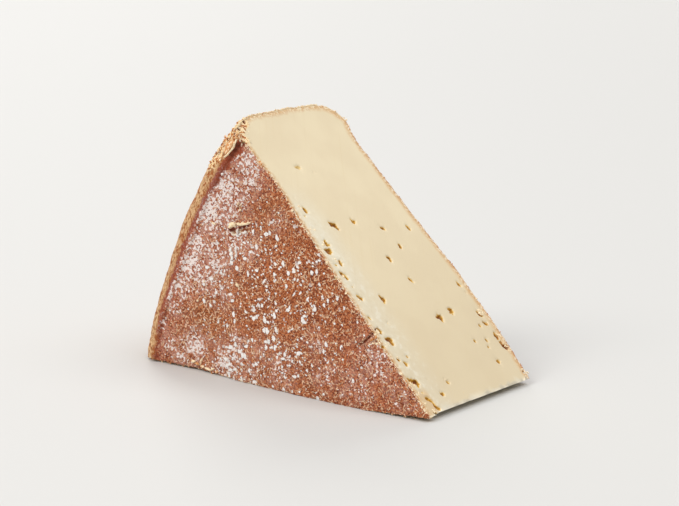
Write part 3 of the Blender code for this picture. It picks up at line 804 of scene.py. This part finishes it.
class Shading:
    """Short ways to add nodes to a material and link them."""

    def __init__(self, name):
        self.material = bpy.data.materials.new(name)
        self.material.use_nodes = True
        self.tree = self.material.node_tree
        self.place = self.add("ShaderNodeTexCoord", "Object", {})
        self.tilted = self.add("ShaderNodeMapping", 0, {"Vector": self.place, "Rotation": NOISE_TILT})

    def fill(self, node, inputs):
        """Sets or links a node's inputs, by name or number."""
        for key, value in inputs.items():
            if isinstance(value, Result):
                self.tree.links.new(value.socket, node.inputs[key])
            else:
                node.inputs[key].default_value = value

    def add(self, kind, output, inputs, **settings):
        """One output of a new node with these settings, or several as a list."""
        node = self.tree.nodes.new(kind)
        for name, value in settings.items():
            setattr(node, name, value)
        self.fill(node, inputs)
        if isinstance(output, list):
            return [Result(self, node.outputs[name]) for name in output]
        return Result(self, node.outputs[output])

    def finish(self, inputs):
        """The material, with its shader's inputs set or linked."""
        self.fill(self.tree.nodes["Principled BSDF"], inputs)
        return self.material

    def field(self, name, output="Fac"):
        """A field of the mesh."""
        return self.add("ShaderNodeAttribute", output, {}, attribute_name=name)

    def noise(self, size_mm, detail=2, roughness=0.5, distortion=0, place=None):
        """Noise from 0 to 1 with features about the size."""
        inputs = {"Vector": place or self.tilted, "Scale": 1000 / size_mm, "Detail": detail,
                  "Roughness": roughness, "Distortion": distortion}
        return self.add("ShaderNodeTexNoise", "Fac", inputs)

    def flecks(self, size_mm, share, smallest, largest, stretch, turn):
        """Scattered uneven flecks, in as large a share of the cells of this size as given."""
        wobble = self.add("ShaderNodeTexNoise", "Color",
                          {"Vector": self.place, "Scale": 1000 / (size_mm * 0.45), "Detail": 2})
        bend = size_mm * 0.55 * MM
        bent = self.add("ShaderNodeVectorMath", 0, {0: wobble, 1: (bend, bend, bend), 2: self.place},
                        operation="MULTIPLY_ADD")
        turned = self.add("ShaderNodeMapping", 0, {"Vector": bent, "Rotation": (0, radians(turn), 0)})
        drawn = self.add("ShaderNodeMapping", 0, {"Vector": turned, "Scale": (1, 1, 1 / stretch)})
        colour, distance = self.add("ShaderNodeTexVoronoi", ["Color", "Distance"],
                                    {"Vector": drawn, "Scale": 1000 / size_mm})
        chance, size = self.add("ShaderNodeSeparateColor", [0, 1], {"Color": colour})
        inside = (size * (largest - smallest) + smallest - distance).step(-0.03, 0.05)
        return inside * self.maths("SUBTRACT", share, chance).step(0, 0.06)

    def maths(self, operation, first, second=0):
        """One operation on one or two numbers."""
        return self.add("ShaderNodeMath", 0, {0: first, 1: second}, operation=operation)

    def most(self, first, *others):
        """The largest of several numbers."""
        for other in others:
            first = self.maths("MAXIMUM", first, other)
        return first

    def mix(self, share, first, second):
        """A share of the second colour over the first; each is a result, or as it looks on a screen."""
        inputs = {"Factor": share}
        for key, colour in ((6, first), (7, second)):
            inputs[key] = linear(*colour) if isinstance(colour, tuple) else colour
        return self.add("ShaderNodeMix", 2, inputs, data_type="RGBA")

    def coats(self, colour, *coats):
        """The colour under these coats, each given as the share it covers and its own colour."""
        for share, coat in coats:
            colour = self.mix(share, colour, coat)
        return colour


def rind_colour(paint):
    """Terracotta rind: grain, bloom, white flecks, painted shade along the crease, a tan heel; and its
    relief.
    """
    bloom, fleck, border = (paint.field(name) for name in ("bloom", "fleck", "border"))
    grain = paint.noise(0.68, 1, 0.5, 0.5)
    dashes = paint.most(*(paint.flecks(0.9, 0.85, 0.15, 0.29, 4, turn) for turn in DASH_TURNS))
    dots = paint.flecks(1, 0.2, 0.16, 0.38, 1.3, 10)
    haze = bloom * paint.noise(2.6).step(0.38, 0.62, 0.05, 0.8)
    powder = paint.noise(1.35, 2.5, 0.58, 0.2)
    dusting = (powder - (bloom * -0.335 + 0.755)).step(-0.025, 0.035)
    gaps = paint.flecks(1.05, bloom * 0.9, 0.14, 0.34, 1.3, 50)
    whites = paint.most(
        paint.flecks(2.5, fleck * 0.56, 0.19, 0.42, 1.5, 20),
        paint.flecks(2.6, fleck * 0.46, 0.19, 0.38, 1.6, 100),
        paint.flecks(2.3, fleck * 0.55, 0.1, 0.24, 2.2, -35),
        paint.flecks(1.4, fleck * 0.46 + 0.08, 0.16, 0.38, 1.3, 70))
    wavy = border + (paint.noise(2.4, 3, 0.6) * 4.4 - 2.2)
    # Painted shade: a dark ragged line along the crease where the heel's strip meets the broad face
    crease_shade = paint.maths("ABSOLUTE", wavy + 0.7).step(0.8, 1.9, 1, 0) * grain.step(0.46, 0.64, 1, 0.82)
    colour = paint.coats(
        paint.mix(paint.noise(9, 3, 0.6).step(0.35, 0.65), (150, 78, 41), (172, 94, 51)),
        (paint.field("pink") * 0.6, (174, 92, 70)),
        (paint.field("ochre") * 0.7, (162, 94, 46)),
        (grain.step(0.4, 0.47, 0.84, 0), (92, 36, 16)),
        (grain.step(0.55, 0.62, 0, 0.55), (214, 146, 98)),
        (dashes * 0.82, (242, 204, 168)),
        (dots * 0.6, (244, 208, 176)),
        (haze, (212, 164, 148)),
        (dusting * 0.92, (243, 231, 225)),
        (gaps * 0.9, (118, 50, 30)),
        (whites * 0.96, (248, 245, 241)),
        (crease_shade * paint.field("crease_shade"), (142, 60, 30)),
        (wavy.step(0.2, 0.5), heel_colour(paint, border)))
    return colour, grain + powder * 0.6 + whites * 0.5 + dashes * 0.25


def heel_colour(paint, border):
    """Tan heel, mottled, more orange away from its edge, and flaky cream and orange at the crumbly corner."""
    mottle = paint.noise(2.9)
    speck = paint.noise(1.3, 2, 0.55)
    patches = paint.noise(15, 3, 0.6)
    orange = paint.mix(patches.step(0.4, 0.6), (188, 112, 60), (212, 148, 96))
    powder = patches.step(0.48, 0.66, 0, 0.4) * border.step(10, 13.5)
    quiet = border.step(6.5, 13, 1, 0.42)
    torn = paint.field("corner") + mottle * 1.2 - 0.6
    return paint.coats(
        paint.mix(mottle.step(0.4, 0.54), (170, 100, 48), (208, 164, 116)),
        (border.step(6, 12, 0, 0.75), orange),
        (powder, (222, 190, 160)),
        (speck.step(0.54, 0.6, 0, 0.58) * quiet, (234, 200, 156)),
        (speck.step(0.38, 0.44, 0.8, 0) * quiet, (138, 78, 34)),
        # Painted shade: darker brown where the heel's strip turns down into the crease
        (border.step(0.4, 2.6, 0.55, 0), (156, 84, 38)),
        (torn.step(0.32, 0.68, 0, 0.92), flaky_colour(paint)))


def flaky_colour(paint):
    """Torn crust: cream flakes with orange and brown between them."""
    flake = paint.noise(1.6, 2, 0.55, 0.8)
    return paint.coats(
        paint.mix(flake.step(0.45, 0.52), (206, 126, 60), (253, 226, 176)),
        (flake.step(0.38, 0.44, 0.88, 0), (122, 52, 18)))


def paste_colour(paint, depth):
    """Cream paste, darker and tan under the rind, with faint knife streaks and ochre eyes."""
    far, pale = paint.field("far"), paint.field("pale")
    streak = paint.noise(2, 3, 0.6, 0, paint.field("grain", "Vector"))
    blotches = paint.noise(3, 3, 0.6, 0.2)
    mottle = paint.noise(1.6, 2, 0.55, 0.5)
    wander = paint.noise(3.5, 3) * 2.6 - 1.3
    within = (depth + wander - far * 1.2).step(0.6, 4.2)
    near_rind = depth.step(1, 4.5, 0.75, 0)
    cream = paint.coats(
        paint.mix(paint.noise(22).step(0.35, 0.65), (232, 215, 181), (236, 220, 186)),
        (pale * 0.75, (234, 226, 204)),
        # Painted shade: the cream darker towards the tip
        (paint.field("tip") * 0.48, (212, 193, 158)),
        (paint.field("lump") * 0.8, (218, 188, 146)),
        (streak.step(0.55, 0.75, 0, 0.3), (226, 206, 166)))
    paste = paint.coats(
        paint.mix(within, (221, 184, 134), cream),
        (depth.step(0.9, 2.2, 0.6, 0), (206, 150, 104)),
        # Lighter and darker blotches on the paste near the front of the cut
        (blotches.step(0.52, 0.66, 0, 0.32) * pale, (246, 242, 228)),
        (blotches.step(0.34, 0.48, 0.3, 0) * pale, (216, 198, 162)),
        (mottle.step(0.52, 0.6) * near_rind, (250, 238, 212)),
        (mottle.step(0.4, 0.47, 0.6, 0) * near_rind, (196, 146, 96)),
        (paint.field("crumbly").step(0.25, 0.6), flaky_colour(paint)),
        # Painted highlight: a pale line along the upper cut's lowest edge
        (paint.field("foot") * 0.7, (252, 247, 228)))
    jagged = paint.field("eye") + (paint.noise(1, 1) - 0.5)
    # The eyes' ochre, pale at their shallow edges and browner where deepest; the darkening with depth is
    # painted shade
    gold_and_shade = paint.coats(
        paint.mix(jagged.step(0.45, 0.85), (236, 208, 142), (212, 158, 48)),
        (jagged.step(0.78, 1.15), (162, 108, 20)),
        (far * depth.step(3, 5.5, 0.9, 0), (152, 84, 30)))
    return paint.mix(jagged.step(0.22, 0.42), paste, gold_and_shade)


def cheese_material():
    """One material for rind and paste, told apart by the depth under the wheel's own surface."""
    paint = Shading("cheese")
    depth = paint.field("depth")
    ragged = paint.noise(1.1, 2, 0.6)
    shifted = depth + (ragged - 0.5) * (paint.field("far") * -0.8 + 1.3)
    rind, relief = rind_colour(paint)
    lip = paint.mix(ragged.step(0.42, 0.54), (196, 120, 62), (252, 236, 206))
    colour = paint.coats(
        rind,
        (shifted.step(0.3, 0.42), lip),
        (shifted.step(0.85, 1.15), paste_colour(paint, depth)),
        (paint.field("brim") * ragged.step(0.36, 0.5, 0.35, 0.85), (250, 226, 178)),
        # Painted shade: dark brown down in the rind's cracks, pits and hollows
        (paint.field("crack"), (126, 56, 22)),
        # Painted shadow under the lifted chips, beside the flap and in the notch's crack
        (paint.field("painted_shadow").step(0.25, 0.75), (104, 42, 20)))
    height = relief * depth.step(0.5, 1.2, 1, 0.1)
    bump = paint.add("ShaderNodeBump", "Normal", {"Height": height, "Strength": 0.9, "Distance": BUMP_HEIGHT})
    return paint.finish({"Base Color": colour, "Roughness": depth.step(0.4, 1, 0.86, 0.52),
                         "Specular IOR Level": 0.35, "Normal": bump})


def crumb_material():
    """Dark, orange, cream or white by the crumb's own tone."""
    paint = Shading("crumb")
    tone = paint.field("tone")
    shade = tone + (paint.noise(1) * 0.9 - 0.45)
    colour = paint.coats(
        paint.mix(shade.step(0.05, 0.38), (128, 62, 28), (212, 142, 80)),
        (shade.step(0.4, 0.66), (251, 231, 194)),
        (tone.step(0.89, 0.92), (236, 230, 223)))
    return paint.finish({"Base Color": colour, "Roughness": 0.75})


class Crumbs:
    """Many small uneven crumbs that share one mesh."""

    def __init__(self, draw):
        form = bmesh.new()
        bmesh.ops.create_icosphere(form, subdivisions=2, radius=0.5)
        self.ball = np.array([vertex.co[:] for vertex in form.verts])
        self.faces = np.array([[vertex.index for vertex in face.verts] for face in form.faces])
        form.free()
        self.draw = draw
        self.parts = []
        self.tones = []

    def add(self, place, turning, size, tone, unevenness=0.55):
        """One crumb with this size along its own axes."""
        shift = Vector([self.draw.uniform(0, 99) for _ in range(3)])
        swell = [1 + unevenness * noise.noise(Vector(point) * CRUMB_WAVES + shift) for point in self.ball]
        shape = self.ball * np.array(swell)[:, None] * np.array(size)
        self.parts.append(shape @ np.array(turning).T + np.array(place))
        self.tones.append(tone)

    def add_flat(self, place, outward, size_mm, tone):
        """A thin flake that lies on a surface, turned and tipped at random."""
        lying = Vector(outward).to_track_quat("Z", "Y").to_matrix()
        tip = Matrix.Rotation(self.draw.gauss(0, FLAKE_TIP), 3, "X")
        turn = Matrix.Rotation(self.draw.uniform(0, 2 * pi), 3, "Z")
        shares = (1, self.draw.uniform(*FLAKE_WIDTH), self.draw.uniform(*FLAKE_THICKNESS))
        size = [size_mm * MM * share for share in shares]
        self.add(place, lying @ turn @ tip, size, tone)

    def finish(self, name, material):
        """The crumbs as one piece of the wedge."""
        count = len(self.ball)
        points = np.concatenate(self.parts)
        faces = np.concatenate([self.faces + index * count for index in range(len(self.parts))])
        mesh = bpy.data.meshes.new(name)
        mesh.from_pydata(points.tolist(), [], faces.tolist())
        add_attribute(mesh, "tone", np.repeat(np.array(self.tones), count))
        mesh.shade_smooth()
        mesh.materials.append(material)
        mesh.transform(Matrix.Translation(axis_place()))
        item = new_object(name, mesh)
        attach(item, "root")


def wheel_places(outline, outward, turns):
    """Points of the roughened rind and directions out of it, where the outline is turned up this far."""
    normals = turned_up(outward, turns)
    return rind_points(turned_up(outline, turns), normals), normals


def scatter(crumbs, places, normals, count, smallest, largest, dark, light, sink=SINK):
    """Crumbs of uneven sizes, more small than large, at places drawn from these."""
    draw = crumbs.draw
    for _ in range(count):
        pick = draw.randrange(len(places))
        size = smallest + (largest - smallest) * draw.random() ** 2
        jitter = Vector([draw.gauss(0, CRUMB_STRAY) * size * MM for _ in range(3)])
        place = Vector(places[pick]) - Vector(normals[pick]) * size * sink * MM + jitter
        crumbs.add_flat(place, normals[pick], size, draw.uniform(dark, light))


def make_crumbs():
    """Crumbs along the rim, base and tip and on the crumbly corner, and the chips, the flap and the curl."""
    crumbs = Crumbs(random.Random(SEED + 1))
    outline, outward = wheel_outline()
    radius, side = outline.T
    near = side > 0
    rim = SECTOR_ANGLE - RIM_DROP
    tip = SECTOR_ANGLE - TIP_DROP
    base = np.arcsin(-BASE_DROP / np.maximum(radius, BASE_FROM))
    for keep, turns, numbers, sink in (
            (radius > HEEL_FROM, rim, TOP_CRUMBS, RIM_SINK),
            (near & (radius > RIM_FROM), rim, FRONT_CRUMBS, RIM_SINK),
            ((side < 0) & (radius > RIM_FROM), rim, FAR_CRUMBS, RIM_SINK),
            (near & (radius > BASE_FROM), base, BASE_CRUMBS, SINK),
            (near & (radius > TIP_FROM) & (radius < TIP_TO), tip, TIP_CRUMBS, RIM_SINK)):
        turns = np.broadcast_to(turns, radius.shape)[keep]
        places, normals = wheel_places(outline[keep], outward[keep], turns)
        scatter(crumbs, places, normals, *numbers, sink)
    add_corner_crumbs(crumbs, outline, outward)
    add_cut_crumbs(crumbs)
    add_chips(crumbs)
    add_flap(crumbs)
    add_curl(crumbs)
    crumbs.finish("crumbs", crumb_material())


def add_corner_crumbs(crumbs, outline, outward):
    """Flakes over the crumbly corner, clear of its pits."""
    radius, side = outline.T
    near = (side > CORNER_ACROSS[0]) & (side < CORNER_ACROSS[1]) & (radius > HEEL_FROM)
    rows = np.repeat(np.flatnonzero(near), CORNER_TRIES)
    turns = np.array([crumbs.draw.uniform(*CORNER_DROPS) for _ in rows])
    heel, heel_out = wheel_places(outline[rows], outward[rows], SECTOR_ANGLE - turns)
    clear = np.ones(len(heel), bool)
    for pit_radius, below, across, size in CORNER_PITS:
        pit = np.array(heel_place(pit_radius * MM, below, across * MM))
        clear &= np.linalg.norm(heel - pit, axis=1) > size * MM * PIT_CLEARANCE
    scatter(crumbs, heel[clear], heel_out[clear], *CORNER_CRUMBS)


def add_cut_crumbs(crumbs):
    """Cream crumbs on the rough places of the upper cut."""
    draw = crumbs.draw
    for distance, side, spread, count in ROUGH_PLACES:
        for _ in range(count):
            place = on_cut(draw.gauss(distance, spread / 2), draw.gauss(side, spread / 2))
            size = draw.uniform(*ROUGH_SIZES)
            crumbs.add_flat((place - OUT * size * 0.1) * MM, OUT, size, draw.uniform(*ROUGH_TONES))


def add_chips(crumbs):
    """The chips of the broad face, each where the photo shows it."""
    for back, up, length, height, thickness, rise, tone in CHIPS:
        size = metres(length, height, thickness)
        crumbs.add(on_front(back, up), front_turning(rise), size, tone, CHIP_UNEVENNESS)


def add_flap(crumbs):
    """The flap at the corner: a thin leaf with a raised outer edge."""
    back, up, length, width, thickness, rise = FLAP
    leaf_tone, edge_tone = FLAP_TONES
    crumbs.add(on_front(back, up), front_turning(rise), metres(length, width, thickness), leaf_tone, 0.5)
    overlap, height, thickness, way_out = FLAP_EDGE_BIT
    path = smooth_through([on_front(back, up) for back, up in FLAP_EDGE], FLAP_EDGE_STEP)
    for start, end in zip(path, path[1:]):
        turning = (end - start).to_track_quat("X", "Z").to_matrix()
        size = ((end - start).length * overlap, height * MM, thickness * MM)
        crumbs.add((start + end) / 2 - Vector((0, way_out * MM, 0)), turning, size, edge_tone)


def add_curl(crumbs):
    """The curled lip round a small hole near the far rim of the upper cut."""
    distance, side, radius, count = CURL
    for index in range(count):
        angle = 2 * pi * index / count
        place = on_cut(distance + radius * cos(angle), side + radius * sin(angle))
        crumbs.add_flat(place * MM, OUT, crumbs.draw.uniform(*CURL_SIZES), CURL_TONE)


def axis_place():
    """Where the wheel's axis meets the wedge's middle plane, from the solid's box."""
    low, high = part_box(NODE)
    return Vector((high.x, low.y + FRONT_REACH, low.z + CUT_BELOW_AXIS))


def make_wedge():
    """The wedge that stands for the solid."""
    sector = whole_sector()
    mesh = cut_wedge(sector.copy())
    points, normals = coordinates(mesh)
    move_points(mesh, roughen(points, normals, surface_fields(points, sector)))
    mesh = lighter_mesh(mesh)
    add_material_fields(mesh, surface_fields(coordinates(mesh)[0], sector))
    mesh.name = "wedge"
    mesh.shade_smooth()
    mesh.materials.clear()
    mesh.materials.append(cheese_material())
    mesh.transform(Matrix.Translation(axis_place()))
    wedge = new_object("wedge", mesh)
    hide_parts(NODE)
    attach(wedge, "root")


def make_floor():
    """A plain pale floor that rises far away, so that no horizon shows."""
    form = bmesh.new()
    reach = FLOOR_SIZE / 2
    grid = bmesh.ops.create_grid(form, x_segments=FLOOR_SQUARES, y_segments=FLOOR_SQUARES, size=reach)
    for vertex in grid["verts"]:
        vertex.co.z = FLOOR_RISE * ease(vertex.co.length, FLOOR_FLAT, reach)
    mesh = finished_mesh(form, "floor")
    mesh.shade_smooth()
    mesh.materials.append(Shading("floor").finish({"Base Color": (*FLOOR_COLOUR, 1), "Roughness": 0.7}))
    new_object("floor", mesh)


def make_lights():
    """Soft studio light: broad far lamps and an even pale sky."""
    for name, (place, spread, strength, colour) in LIGHTS.items():
        lamp = bpy.data.lights.new(name, "SUN")
        lamp.angle = radians(spread)
        lamp.energy = strength
        lamp.color = colour
        item = new_object(name, lamp)
        item.location = place
        item.rotation_euler = Vector(place).to_track_quat("Z", "Y").to_euler()
    world = bpy.data.worlds.new("sky")
    world.use_nodes = True
    background = world.node_tree.nodes["Background"]
    background.inputs["Color"].default_value = (*SKY, 1)
    background.inputs["Strength"].default_value = SKY_STRENGTH
    bpy.context.scene.world = world


def make_camera():
    """The camera at the photograph's viewing angle."""
    axes = Matrix.Rotation(CAMERA_TURN, 3, "Z") @ Matrix.Rotation(pi / 2 - CAMERA_RISE, 3, "X")
    axes = axes @ Matrix.Rotation(CAMERA_ROLL, 3, "Z")
    camera = bpy.data.cameras.new("camera")
    camera.sensor_width = SENSOR
    camera.lens = CAMERA_LENS
    item = new_object("camera", camera)
    item.matrix_world = Matrix.Translation(axis_place() + axes @ CAMERA_OFFSET) @ axes.to_4x4()
    bpy.context.scene.camera = item


bpy.context.scene.view_settings.view_transform = "Standard"
make_camera()
make_lights()
make_floor()
make_wedge()
make_crumbs()
